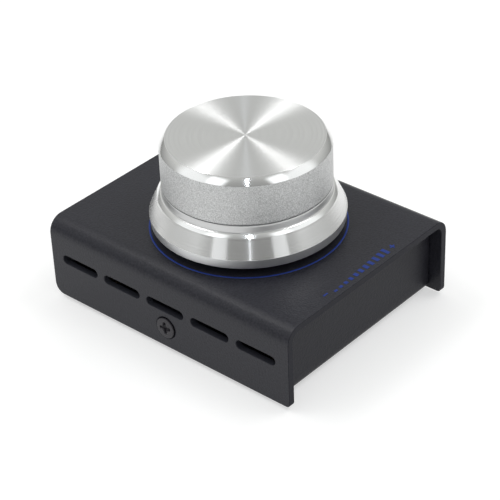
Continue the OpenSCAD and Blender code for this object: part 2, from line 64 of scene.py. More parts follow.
def box_mm(name):
    """A CAD node's lowest and highest corners in millimetres."""
    return (np.round(np.array(corner) / MM, 4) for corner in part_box(name))


cover_low, cover_high = box_mm("cover")
tray_low, tray_high = box_mm("chassis")
knob_low, knob_high = box_mm("knob")

# the cover: folded sheet with its outer bend radius, and the flanges' rounded corners
CASE_W, CASE_D, COVER_H = cover_high - cover_low
FOOT_H, TOP_Z = cover_low[2], cover_high[2]
COVER_T, BEND_R = 1.8, 4.0
FRONT_CORNER, REAR_CORNER = 1.0, 2.8
ARC = BEND_R * RIGHT_ANGLE
FLANGE_FLAT = COVER_H - BEND_R
HALF_FLAT = CASE_W / 2 - BEND_R
COVER_LEN = 2 * (FLANGE_FLAT + ARC + HALF_FLAT)
SLOT_H, SLOT_PITCH, SLOT_LENGTH, SLOT_WIDTH = 11.3, 14.1, 11.8, 2.5
SCREW_H = 5.6
SCREW_Z = FOOT_H + SCREW_H

# the tray
TRAY_W, TRAY_D, PANEL_H = tray_high - tray_low
TRAY_T, TRAY_R = 1.5, 2.0
TRAY_ARC = TRAY_R * RIGHT_ANGLE
TRAY_HALF = TRAY_D / 2 - TRAY_R
TRAY_END = TRAY_HALF + TRAY_ARC + PANEL_H - TRAY_R
TAB_HALF, TAB_H, RELIEF = 10.0, 9.0, 1.5
SPIGOT_X, SPIGOT_ROWS, SPIGOT_R = 17.8, (-23.3, 28.3), 2.03
INLET_Z, INLET_HALF_W, INLET_HALF_H = 15.65, 4.25, 2.35

# the knob
KNOB_X, KNOB_Y = -0.8, -1.5
KNOB_Z, KNOB_TOP = knob_low[2], knob_high[2]
GRIP_R = 20.6
GRUB_H, GRUB_R, GRUB_FLOOR = 13.0, 1.53, 3.3


# ------------------------------------------------------------- mesh helpers

def put_mesh(name, verts, faces, body, replaced, materials, face_mats=None, uvs=None):
    """Makes a piece of points in millimetres and faces, rides it on its body and hides the CAD nodes that it
    replaces.
    """
    mesh = bpy.data.meshes.new(name)
    mesh.from_pydata((np.asarray(verts, float) * MM).tolist(), [], [list(f) for f in faces])
    mesh.validate(clean_customdata=False)
    mesh.update()
    mesh.polygons.foreach_set("use_smooth", np.ones(len(mesh.polygons), bool))
    for mat in materials:
        mesh.materials.append(mat)
    if face_mats is not None:
        mesh.polygons.foreach_set("material_index", np.asarray(face_mats, np.int32))
    if uvs is not None:
        layer = mesh.uv_layers.new(name="turning")
        loops = np.empty(len(mesh.loops), np.int32)
        mesh.loops.foreach_get("vertex_index", loops)
        layer.data.foreach_set("uv", np.asarray(uvs, float)[loops].ravel())
    obj = bpy.data.objects.new(name, mesh)
    bpy.context.scene.collection.objects.link(obj)
    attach(obj, body)
    if replaced:
        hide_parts(*replaced)
    return obj


def turn_outwards(obj):
    """Merges a closed piece's doubled points and turns its faces outwards."""
    mesh = bmesh.new()
    mesh.from_mesh(obj.data)
    bmesh.ops.remove_doubles(mesh, verts=mesh.verts, dist=1e-7)
    bmesh.ops.recalc_face_normals(mesh, faces=mesh.faces)
    mesh.to_mesh(obj.data)
    mesh.free()


def sharp_at(obj, degrees):
    """Keeps edges sharper than an angle crisp in the shading."""
    obj.data.set_sharp_from_angle(angle=math.radians(degrees))


def round_edges(obj, width, segments=3, angle=38):
    """Gives every sharp edge of a piece a small round of one width."""
    bevel = obj.modifiers.new("edge_round", "BEVEL")
    bevel.width = width * MM
    bevel.segments = segments
    bevel.limit_method = "ANGLE"
    bevel.angle_limit = math.radians(angle)
    bevel.harden_normals = True


def revolved(section, turns, centre=(0, 0)):
    """A section of (radius, height) turned upright: x = cx + r cos a, y = cy + r sin a. One row per point."""
    r, z = np.asarray(section, float).T[:, :, None]
    angle = TAU * np.arange(turns) / turns
    x, y = centre[0] + r * np.cos(angle), centre[1] + r * np.sin(angle)
    return np.stack([x, y, np.broadcast_to(z, x.shape)], -1)


def grid_faces(rows, turns):
    """Quads between neighbouring closed rings of points, row by row."""
    i = np.arange(rows - 1)[:, None] * turns
    j = np.arange(turns)
    k = np.roll(j, -1)
    return np.stack([i + j, i + k, i + turns + k, i + turns + j], -1).reshape(-1, 4).tolist()


def pole_faces(rows, turns, first_pole, last_pole):
    """Triangles that close the first ring to one point and the last ring to another."""
    j = np.arange(turns)
    k = np.roll(j, -1)
    end = (rows - 1) * turns
    first = np.column_stack([np.full(turns, first_pole), k, j])
    last = np.column_stack([np.full(turns, last_pole), end + j, end + k])
    return first.tolist() + last.tolist()


def band(ring, next_ring):
    """Quads between two closed rings, each given by its points' numbers."""
    ring, next_ring = np.asarray(ring), np.asarray(next_ring)
    return np.column_stack([ring, np.roll(ring, -1), np.roll(next_ring, -1), next_ring])


def repeated(faces, points, count):
    """The faces of several copies whose points follow one another."""
    return [[i + n * len(points) for i in face] for n in range(count) for face in faces]


def smooth_step(x):
    """0 below 0, 1 above 1, and 3x2 - 2x3 between."""
    x = np.clip(x, 0, 1)
    return x * x * (3 - 2 * x)


def fillet(before, corner, after, radius, count=4):
    """Points of the arc that rounds a profile's corner and touches both of its sides."""
    before, corner, after = (np.array(p, float) for p in (before, corner, after))
    a, b = before - corner, after - corner
    a, b = a / np.linalg.norm(a), b / np.linalg.norm(b)
    half = math.acos(np.clip(a @ b, -1, 1)) / 2
    reach = radius / math.tan(half)
    middle = corner + (a + b) / np.linalg.norm(a + b) * radius / math.sin(half)
    start, end = corner + a * reach - middle, corner + b * reach - middle
    t0, t1 = math.atan2(start[1], start[0]), math.atan2(end[1], end[0])
    t = t0 + ((t1 - t0 + math.pi) % TAU - math.pi) * np.linspace(0, 1, count + 1)
    return middle + radius * np.column_stack([np.cos(t), np.sin(t)])


# ------------------------------------------------------------- sheet metal

def cut_lines(stops):
    """Grid lines from stops, (position, segments up to it), divided evenly, and each stop's line number."""
    at = np.array([s[0] for s in stops], float)
    index = np.cumsum([s[1] for s in stops])
    return np.interp(np.arange(index[-1] + 1), index, at), index


def block_at(stops, place):
    """The number of the stretch between two stops that holds a place."""
    return int(np.searchsorted([s[0] for s in stops], place)) - 1


def block_edge(a, b):
    """Grid numbers round a block in turn: along a at the first b, up b at the last a, back, and down."""
    return np.concatenate([
        np.column_stack([a[:-1], np.full(len(a) - 1, b[0])]),
        np.column_stack([np.full(len(b) - 1, a[-1]), b[:-1]]),
        np.column_stack([a[:0:-1], np.full(len(a) - 1, b[-1])]),
        np.column_stack([np.full(len(b) - 1, a[0]), b[:0:-1]])])


def slot(centre, length, width):
    """A slot along v with half-round ends, as a function that matches its points to a block's edge."""
    r, half = width / 2, (length - width) / 2

    def outline(nu, nv):
        t = math.pi * np.arange(nu) / nu
        along = half * (2 * np.arange(nv) / nv - 1)
        return np.concatenate([
            np.column_stack([-r * np.cos(t), -half - r * np.sin(t)]),
            np.column_stack([np.full(nv, r), along]),
            np.column_stack([r * np.cos(t), half + r * np.sin(t)]),
            np.column_stack([np.full(nv, -r), -along])]) + centre
    return outline


def circle(centre, radius):
    """A circle whose four quarters match a block's four sides, as a function of the sides' segments."""
    def outline(nu, nv):
        angles = np.concatenate([
            RIGHT_ANGLE * (side - 1.5 + np.arange(n) / n) for side, n in enumerate((nu, nv, nu, nv))])
        return radius * np.column_stack([np.cos(angles), np.sin(angles)]) + centre
    return outline


def flat_blank(u_stops, v_stops, holes, cut_away=None):
    """A flat sheet of grid cells before folding: its points (u, v), its faces and its holes' rings.

    cut_away(u, v) says which blocks between stops are cut off, by their middles. holes maps a block to its
    outlines, (depth, outline) from the outside to the inside. Between a hole and its block's edge, points lie
    at edge + share x (outline - edge).
    """
    (u, ui), (v, vi) = cut_lines(u_stops), cut_lines(v_stops)
    points = np.stack(np.meshgrid(u, v, indexing="ij"), -1).reshape(-1, 2)
    mid_u, mid_v = (u[ui][1:] + u[ui][:-1]) / 2, (v[vi][1:] + v[vi][:-1]) / 2
    whole = np.ones((len(mid_u), len(mid_v)), bool)
    if cut_away:
        whole &= ~cut_away(mid_u[:, None], mid_v[None, :])
    whole[tuple(np.transpose(list(holes)))] = False
    a, b = np.nonzero(whole.repeat(np.diff(ui), 0).repeat(np.diff(vi), 1))
    corner = a * len(v) + b
    faces = [np.column_stack([corner, corner + len(v), corner + len(v) + 1, corner + 1])]
    rings = []
    for (i, j), steps in holes.items():
        nu, nv = ui[i + 1] - ui[i], vi[j + 1] - vi[j]
        steps = [(depth, outline(nu, nv)) for depth, outline in steps]
        edge = block_edge(np.arange(ui[i], ui[i + 1] + 1), np.arange(vi[j], vi[j + 1] + 1)) @ [len(v), 1]
        last = edge
        for share in (0.5, 1.0):
            ring = len(points) + np.arange(len(edge))
            points = np.concatenate([points, points[edge] + (steps[0][1] - points[edge]) * share])
            faces.append(band(last, ring))
            last = ring
        rings.append((last, steps))
    used, faces = np.unique(np.concatenate(faces), return_inverse=True)
    rings = [(np.searchsorted(used, ring), steps) for ring, steps in rings]
    return points[used], faces.reshape(-1, 4), rings


def sheet_from_blank(blank, thickness, fold):
    """A sheet: the folded blank outside, the same blank one thickness deeper inside, and rims between.

    fold(u, v, depth) gives places from blank coordinates and the depth under the outside. The third result
    tells the faces apart: 0 on both sides of the sheet, 1 on the walls of holes, 2 on the cut rims.
    """
    points, faces, rings = blank
    n = len(points)
    inside = points.copy()
    between, hole_walls, hole_edges = [], [], []
    for ring, steps in rings:
        inside[ring] = steps[-1][1]
        last = ring
        for depth, outline in steps[1:-1]:
            start = 2 * n + sum(len(p) for p in between)
            between.append(np.column_stack([outline, np.full(len(outline), depth)]))
            hole_walls.append(band(last, start + np.arange(len(outline))))
            last = start + np.arange(len(outline))
        hole_walls.append(band(last, ring + n))
        hole_edges += [ring * n + np.roll(ring, -1), np.roll(ring, -1) * n + ring]
    a, b = faces.ravel(), np.roll(faces, -1, axis=1).ravel()
    rim = ~np.isin(b * n + a, a * n + b) & ~np.isin(a * n + b, np.concatenate(hole_edges))
    rims = np.column_stack([b, a, a + n, b + n])[rim]
    flat = np.concatenate([
        np.column_stack([points, np.zeros(n)]), np.column_stack([inside, np.full(n, thickness)]), *between])
    walls = np.concatenate(hole_walls)
    kinds = np.repeat([0, 2, 1], [2 * len(faces), len(rims), len(walls)])
    return fold(*flat.T), np.concatenate([faces, faces[:, ::-1] + n, rims, walls]), kinds


def round_corner(a, b):
    """A square's corner pulled onto a quarter circle, a and b 0 to 1: a root(1 - b2/2), b root(1 - a2/2)."""
    return a * np.sqrt(1 - b * b / 2), b * np.sqrt(1 - a * a / 2)


def through(outline, thickness):
    """A hole with straight walls."""
    return [(0, outline), (thickness, outline)]


# ----------------------------------------------------------------- materials

def node(tree, kind, inputs=None, **settings):
    """Adds a node; inputs maps an input to a value, or to the output that is linked to it."""
    made = tree.nodes.new(kind)
    for key, value in settings.items():
        setattr(made, key, value)
    for key, value in (inputs or {}).items():
        if isinstance(value, bpy.types.NodeSocket):
            tree.links.new(value, made.inputs[key])
        else:
            made.inputs[key].default_value = value
    return made


def new_material(name, colour, roughness, metallic=0.0, **sockets):
    """A node material with constant values on the shader's own sockets."""
    mat = bpy.data.materials.new(name)
    mat.use_nodes = True
    shader = mat.node_tree.nodes["Principled BSDF"]
    shader.inputs["Base Color"].default_value = (*colour, 1)
    shader.inputs["Metallic"].default_value = metallic
    shader.inputs["Roughness"].default_value = roughness
    for key, value in sockets.items():
        shader.inputs[key.replace("_", " ")].default_value = value
    return mat, mat.node_tree, shader


def dent_and_gloss(tree, shader, height, gloss, spread, strength, depth):
    """One noise drives a bump of up to a depth in millimetres and the roughness between two levels."""
    bump = node(tree, "ShaderNodeBump", {"Strength": strength, "Distance": depth * MM, "Height": height})
    tree.links.new(bump.outputs["Normal"], shader.inputs["Normal"])
    level = node(tree, "ShaderNodeMapRange", {
        "Value": height, "From Min": 0.5 - spread, "From Max": 0.5 + spread,
        "To Min": gloss[0], "To Max": gloss[1]})
    tree.links.new(level.outputs["Result"], shader.inputs["Roughness"])


def grained(name, shades, gloss, scale, strength, depth, metallic=0.0, **sockets):
    """A finish with fine grain, which dents the surface and shifts its gloss and its colour."""
    colour = np.mean(shades, axis=0)
    mat, tree, shader = new_material(name, colour, sum(gloss) / 2, metallic, **sockets)
    place = node(tree, "ShaderNodeTexCoord")
    noise = node(tree, "ShaderNodeTexNoise", {
        "Vector": place.outputs["Object"], "Scale": scale, "Detail": 3.0})
    dent_and_gloss(tree, shader, noise.outputs["Fac"], gloss, 0.2, strength, depth)
    if len(shades) == 2:
        ramp = node(tree, "ShaderNodeValToRGB", {"Fac": noise.outputs["Fac"]})
        for stop, position, shade in zip(ramp.color_ramp.elements, (0.35, 0.65), shades):
            stop.position = position
            stop.color = (*shade, 1)
        tree.links.new(ramp.outputs["Color"], shader.inputs["Base Color"])
    return mat


def turned_metal(name, colour, gloss, line_depth):
    """Lathe-turned aluminium: rings of noise along the profile, and a gloss stretched across them."""
    mat, tree, shader = new_material(name, colour, sum(gloss) / 2, 1.0, Anisotropic=1.0)
    tangent = node(tree, "ShaderNodeTangent", direction_type="UV_MAP", uv_map="turning")
    tree.links.new(tangent.outputs["Tangent"], shader.inputs["Tangent"])
    uv = node(tree, "ShaderNodeUVMap", uv_map="turning")
    along = node(tree, "ShaderNodeSeparateXYZ", {"Vector": uv.outputs["UV"]})
    rings = node(tree, "ShaderNodeTexNoise", noise_dimensions="1D", inputs={
        "W": along.outputs["X"], "Scale": 2.6, "Detail": 4})
    dent_and_gloss(tree, shader, rings.outputs["Fac"], gloss, 0.15, 1.0, line_depth)
    return mat


# coats, with darker copies that paint shade on the tray and on the cut rims, rubber and ink
powder = grained("black_powder_coat", ((0.016, 0.016, 0.022), (0.029, 0.029, 0.038)), (0.28, 0.44),
                 2100, 0.9, 0.07, Specular_IOR_Level=0.27)
# painted shade: a darker, duller copy of the powder coat for the recessed tray, for the shade that falls on
# it
tray_coat_painted_shade = grained("black_tray_coat_painted_shade", ((0.013, 0.013, 0.018), (0.023, 0.023, 0.030)), (0.38, 0.52),
                     2100, 0.9, 0.07, Specular_IOR_Level=0.2)
slot_wall = grained("coated_slot_wall", ((0.024, 0.025, 0.033), (0.030, 0.031, 0.041)), (0.48, 0.62),
                    2400, 0.6, 0.04, Specular_IOR_Level=0.3)
# painted shade: a darker, less glossy copy of the powder coat on the sheets' cut rims, for how light falls on
# these end faces
rim_coat_painted_shade = grained("coated_rim_painted_shade", ((0.016, 0.016, 0.022), (0.024, 0.024, 0.032)), (0.44, 0.56),
                   2100, 0.7, 0.05, Specular_IOR_Level=0.13)
black_oxide = grained("black_oxide_steel", ((0.024, 0.022, 0.028), (0.036, 0.033, 0.040)), (0.34, 0.48),
                      2500, 0.3, 0.02, Specular_IOR_Level=0.4)
rubber = grained("foot_rubber", ((0.022, 0.022, 0.022),), (0.66, 0.82), 1400, 0.5, 0.05)
ink = grained("blue_ink", ((0.011, 0.034, 0.21), (0.017, 0.046, 0.27)), (0.45, 0.55),
              2600, 0.2, 0.01, Specular_IOR_Level=0.28)

# the knob's finishes
ALUMINIUM = (0.885, 0.888, 0.885)
turned_top = turned_metal("turned_aluminium", ALUMINIUM, (0.34, 0.43), 0.014)
turned_cone = turned_metal("turned_cone_aluminium", (0.80, 0.80, 0.795), (0.19, 0.23), 0.007)
polished = grained("polished_aluminium", (ALUMINIUM,), (0.065, 0.095), 900, 0.1, 0.001, 1.0)
rolled = grained("rolled_aluminium", (ALUMINIUM,), (0.11, 0.16), 900, 0.1, 0.002, 1.0)
blasted = grained("blasted_aluminium", ((0.42, 0.425, 0.425), (0.77, 0.775, 0.775)), (0.42, 0.60),
                  4200, 1.0, 0.10, 1.0)
collar_finish = grained("collar_aluminium", ((0.61, 0.612, 0.612),), (0.33, 0.39), 1500, 0.2, 0.004, 1.0)
# painted shade: the groove's dark grey stands for the shade deep in the narrow groove, together with some
# rough, dulled metal
groove_painted_shade = grained("groove_painted_shade", ((0.26, 0.26, 0.265),), (0.52, 0.68), 1500, 0.3, 0.01, 1.0)
foot_finish = grained("foot_band_aluminium", ((0.84, 0.845, 0.85),), (0.38, 0.47), 1500, 0.2, 0.005, 1.0)
machined = grained("machined_aluminium", ((0.82, 0.825, 0.835),), (0.30, 0.40), 1500, 0.3, 0.01, 1.0)

# inside the case
plated = grained("plated_steel", ((0.60, 0.59, 0.56), (0.645, 0.635, 0.605)), (0.22, 0.36),
                 1200, 0.25, 0.01, 1.0)
contact_metal = grained("contact_brass", ((0.72, 0.50, 0.19), (0.82, 0.60, 0.26)), (0.24, 0.38),
                        1500, 0.25, 0.01, 1.0)
can_metal = grained("drawn_aluminium", ((0.80, 0.80, 0.81),), (0.24, 0.36), 900, 0.2, 0.01, 1.0)
die_cast = grained("die_cast_zinc", ((0.50, 0.51, 0.52), (0.60, 0.61, 0.62)), (0.38, 0.54),
                   1100, 0.4, 0.03, 1.0)
moulding = grained("black_moulding", ((0.018, 0.018, 0.019),), (0.40, 0.52), 1800, 0.3, 0.02)
pale_moulding = grained("white_moulding", ((0.68, 0.67, 0.63), (0.75, 0.74, 0.70)), (0.36, 0.50),
                        1600, 0.25, 0.02)
solder_mask = grained("green_solder_mask", ((0.0072, 0.094, 0.033), (0.0088, 0.106, 0.037)), (0.26, 0.40),
                      700, 0.3, 0.03)
ceramic = grained("chip_ceramic", ((0.38, 0.24, 0.13), (0.46, 0.30, 0.17)), (0.44, 0.56), 2200, 0.3, 0.02)


# ------------------------------------------------------------------- cover

def fold_cover(s, y, depth):
    """The flat blank folded over: flange, quarter bend of radius R, top plate, bend, flange.

    At distance w from the middle the sheet has turned by (w - half flat) / R, at most a quarter turn, so
    x = flat part + (R - depth) sin turn, and z = top - R + (R - depth) cos turn - what hangs below the bend.
    """
    for sign, r in ((-1, FRONT_CORNER), (1, REAR_CORNER)):
        b = np.clip((r - np.minimum(s, COVER_LEN - s)) / r, 0, 1)
        a = np.clip((sign * y - CASE_D / 2 + r) / r, 0, 1)
        round_a, round_b = round_corner(a, b)
        corner = (a > 0) & (b > 0)
        y = np.where(corner, y + sign * (round_a - a) * r, y)
        s = np.where(corner, s - (round_b - b) * r * np.where(s < COVER_LEN / 2, 1, -1), s)
    u = s - COVER_LEN / 2
    w = np.abs(u)
    turn = np.clip((w - HALF_FLAT) / BEND_R, 0, RIGHT_ANGLE)
    x = np.sign(u) * (np.minimum(w, HALF_FLAT) + (BEND_R - depth) * np.sin(turn))
    z = TOP_Z - BEND_R + (BEND_R - depth) * np.cos(turn) - np.maximum(w - HALF_FLAT - ARC, 0)
    return np.column_stack([x, y, z])


def make_cover():
    """The cover: five slots and a countersunk hole in each flange, and the bushing's hole on top."""
    middle = COVER_LEN / 2
    slot_low, slot_high = SLOT_H - 1.925, SLOT_H + 1.925
    side = [(0, 0), (FRONT_CORNER, 2), (SCREW_H - 3.775, 1), (slot_low, 8), (slot_high, 8), (FLANGE_FLAT, 3),
            (FLANGE_FLAT + ARC, 12)]
    knob_window = [(middle + KNOB_X - 7, 8), (middle + KNOB_X + 7, 8)]
    other_side = [(COVER_LEN - a[0], b[1]) for a, b in zip(side[-2::-1], side[:0:-1])]
    s_stops = side + knob_window + [(COVER_LEN - side[-1][0], 8)] + other_side
    y_stops = ([(-CASE_D / 2, 0), (FRONT_CORNER - CASE_D / 2, 2), (-2.5 * SLOT_PITCH, 2)]
               + [(k * SLOT_PITCH, 12) for k in (-1.5, -0.5, 0.5, 1.5)]
               + [(CASE_D / 2 - REAR_CORNER, 12), (CASE_D / 2, 5)])
    holes = {}

    def cut(s, y, steps):
        holes[block_at(s_stops, s), block_at(y_stops, y)] = steps

    for slot_s, screw_s in ((SLOT_H, SCREW_H), (COVER_LEN - SLOT_H, COVER_LEN - SCREW_H)):
        for k in range(-2, 3):
            cut(slot_s, k * SLOT_PITCH,
                through(slot((slot_s, k * SLOT_PITCH), SLOT_LENGTH, SLOT_WIDTH), COVER_T))
        wide, narrow = circle((screw_s, 0), 3.1), circle((screw_s, 0), 1.7)
        cut(screw_s, 0, [(0, wide), (1.4, narrow), (COVER_T, narrow)])
    cut(middle + KNOB_X, KNOB_Y, through(circle((middle + KNOB_X, KNOB_Y), 3.6), COVER_T))
    places, faces, kinds = sheet_from_blank(flat_blank(s_stops, y_stops, holes), COVER_T, fold_cover)
    obj = put_mesh("case_cover", places, faces, "case", ["cover"], [powder, slot_wall, rim_coat_painted_shade],
                   face_mats=kinds)
    turn_outwards(obj)
    round_edges(obj, 0.32)


# -------------------------------------------------------------------- tray

def fold_tray(p, v, depth):
    """The tray's blank folded: panels up about X, screw tabs up about Y; the panels' top corners rounded.

    A panel's sheet turns by (distance past the flat) / R, as the cover's does, and then stands upright. A
    tab's blank is one radius long over its bend, and its turn is that share of a quarter.
    """
    r = BEND_R - COVER_T
    b = np.clip((np.abs(v) - TRAY_END + r) / r, 0, 1)
    a = np.clip((np.abs(p) - TRAY_W / 2 + r) / r, 0, 1)
    round_a, round_b = round_corner(a, b)
    corner = (a > 0) & (b > 0)
    p = np.where(corner, p + (round_a - a) * r * np.sign(p), p)
    v = np.where(corner, v + (round_b - b) * r * np.sign(v), v)

    def bent(along, flat, turn, upright):
        out = np.sign(along) * (np.minimum(np.abs(along), flat) + (TRAY_R - depth) * np.sin(turn))
        return out, FOOT_H + TRAY_R - (TRAY_R - depth) * np.cos(turn) + np.maximum(upright, 0)

    past = np.abs(v) - TRAY_HALF
    y, z = bent(v, TRAY_HALF, np.clip(past / TRAY_R, 0, RIGHT_ANGLE), past - TRAY_ARC)
    tab_flat = TRAY_W / 2 - TRAY_R
    over = np.abs(p) - tab_flat
    tab_x, tab_z = bent(p, tab_flat, np.clip(over / TRAY_R, 0, 1) * RIGHT_ANGLE, over - TRAY_R)
    tab = np.abs(v) < TAB_HALF + 0.01
    return np.column_stack([np.where(tab, tab_x, p), y, np.where(tab, tab_z, z)])


def make_tray():
    """The tray: bottom, front and rear panels, two screw tabs, the inlet's opening and four spigot holes."""
    tab_end = TRAY_W / 2 + TAB_H - TRAY_R
    tab_hole = TRAY_W / 2 + SCREW_H - TRAY_R
    right = [(INLET_HALF_W, 6), (SPIGOT_X - 3, 5), (SPIGOT_X + 3, 6), (TRAY_W / 2 - TRAY_R, 4),
             (TRAY_W / 2, 4), (tab_hole - 2.4, 1), (tab_hole + 2.4, 6), (tab_end, 1)]
    left = [(-a[0], b[1]) for a, b in zip(right[-2::-1], right[:0:-1])]
    p_stops = [(-tab_end, 0)] + left + right
    bend_end = TRAY_HALF + TRAY_ARC
    inlet_low, inlet_high = (
        bend_end + INLET_Z + h - FOOT_H - TRAY_R for h in (-INLET_HALF_H, INLET_HALF_H))
    front_row, rear_row = SPIGOT_ROWS
    v_stops = [(-TRAY_END, 0), (-inlet_high, 3), (-inlet_low, 4), (-bend_end, 8), (-TRAY_HALF, 6),
               (front_row - 3, 3), (front_row + 3, 6), (-TAB_HALF - RELIEF, 4), (-TAB_HALF, 1),
               (TAB_HALF, 8), (TAB_HALF + RELIEF, 1), (rear_row - 3, 6), (rear_row + 3, 6),
               (TRAY_HALF, 1), (bend_end, 6), (inlet_low, 8), (inlet_high, 4), (TRAY_END, 3)]

    def cut_away(p, v):
        beside_tab = (np.abs(p) > TRAY_W / 2) & (np.abs(v) > TAB_HALF)
        relief = (np.abs(p) > TRAY_W / 2 - TRAY_R) & (np.abs(v) > TAB_HALF) & (np.abs(v) < TAB_HALF + RELIEF)
        inlet = (np.abs(p) < INLET_HALF_W) & (v > inlet_low) & (v < inlet_high)
        return beside_tab | relief | inlet

    holes = {}
    for side in (-1, 1):
        for p, v, radius in (*((SPIGOT_X, row, SPIGOT_R) for row in SPIGOT_ROWS), (tab_hole, 0, 1.53)):
            cell = block_at(p_stops, side * p), block_at(v_stops, v)
            holes[cell] = through(circle((side * p, v), radius), TRAY_T)
    places, faces, kinds = sheet_from_blank(flat_blank(p_stops, v_stops, holes, cut_away), TRAY_T, fold_tray)
    obj = put_mesh("case_tray", places, faces, "case", ["chassis"], [tray_coat_painted_shade, slot_wall, rim_coat_painted_shade],
                   face_mats=kinds)
    turn_outwards(obj)
    round_edges(obj, 0.25)


# -------------------------------------------------------------------- knob

KNOB_FINISHES = [machined, foot_finish, turned_cone, rolled, blasted, polished, turned_top, collar_finish,
                 groove_painted_shade]
INSIDE, FOOT, CONE, ROLL, GRIP, EDGE, TOP, COLLAR, GROOVE = range(9)


def knob_profile():
    """The knob's profile from the bore's roof round to the top, (radius, height), and each point's finish.

    Bore, recess, foot band, turned cone, crowned shoulder that rolls over level to the collar, groove, grip
    band, chamfer and top.
    """
    base, top = KNOB_Z, KNOB_TOP
    points, finish = [], []

    def add(new, kind):
        points.extend(new)
        finish.extend([kind] * len(new))

    roof, bore, recess, rim = (0, base + 16.5), (3.04, base + 16.5), (15, base + 4.2), (15, base)
    bore_foot, foot_low, foot_high = (3.04, base + 4.2), (23.7, base), (23.9, base + 2.4)
    cone_top = (21.72, base + 6.98)
    add([roof], INSIDE)
    add(fillet(roof, bore, bore_foot, 0.2, 2), INSIDE)
    add(fillet(bore, bore_foot, recess, 0.3, 3), INSIDE)
    add(fillet(bore_foot, recess, rim, 0.3, 3), INSIDE)
    add(fillet(recess, rim, foot_low, 0.3, 3), INSIDE)
    add(fillet(rim, foot_low, foot_high, 0.25, 4), FOOT)
    add(fillet(foot_low, foot_high, cone_top, 0.08, 3), FOOT)

    # the shoulder leans in from 40 to 46 degrees, then rolls over on a small radius
    lean = np.radians(np.linspace(40, 46, 6))
    run = np.column_stack([-np.sin(lean), np.cos(lean)]) * (1.05 / len(lean))
    shoulder = cone_top + np.cumsum(run, axis=0)
    roll = np.radians(np.linspace(46, 86, 7))
    arc = 0.4 * np.column_stack([np.cos(roll), np.sin(roll)])
    rolled_over = shoulder[-1] - arc[0] + arc
    level = (GRIP_R, rolled_over[-1, 1] + 0.01)
    add(fillet(foot_high, cone_top, shoulder[0], 0.07, 3), ROLL)
    add(shoulder[:-1], ROLL)
    add(rolled_over, ROLL)
    add(fillet(rolled_over[-1], level, (GRIP_R, level[1] + 1), 0.1, 3), COLLAR)

    groove = base + 9.9
    lip, floor = GRIP_R - 0.04, GRIP_R - 0.3
    add([(GRIP_R, groove - 0.6), (GRIP_R, groove - 0.2), (lip, groove - 0.13)], COLLAR)
    add([(floor, groove - 0.10), (floor, groove + 0.10), (lip, groove + 0.13)], GROOVE)
    add([(GRIP_R, groove + 0.2)], GRIP)

    # the chamfer is turned a little round: a shallow arc, 4 x 0.06 x share x (1 - share) over its line
    edge_low, edge_high = np.array([GRIP_R, top - 1.7]), np.array([GRIP_R - 1.5, top])
    along = edge_high - edge_low
    out = np.array([along[1], -along[0]]) / np.linalg.norm(along)
    share = np.linspace(0, 1, 9)[1:-1, None]
    crown = edge_low + share * along + 4 * 0.06 * share * (1 - share) * out
    add(fillet((GRIP_R, top - 8), edge_low, crown[0], 0.12, 4), GRIP)
    add(crown, EDGE)
    add(fillet(crown[-1], edge_high, (0, top), 0.06, 3), EDGE)
    add([(r, top) for r in (18, 15, 12, 9, 6, 3.5, 1.5, 0.5, 0.16, 0.05, 0)], TOP)
    return np.array([tuple(p) for p in points]), np.array(finish)


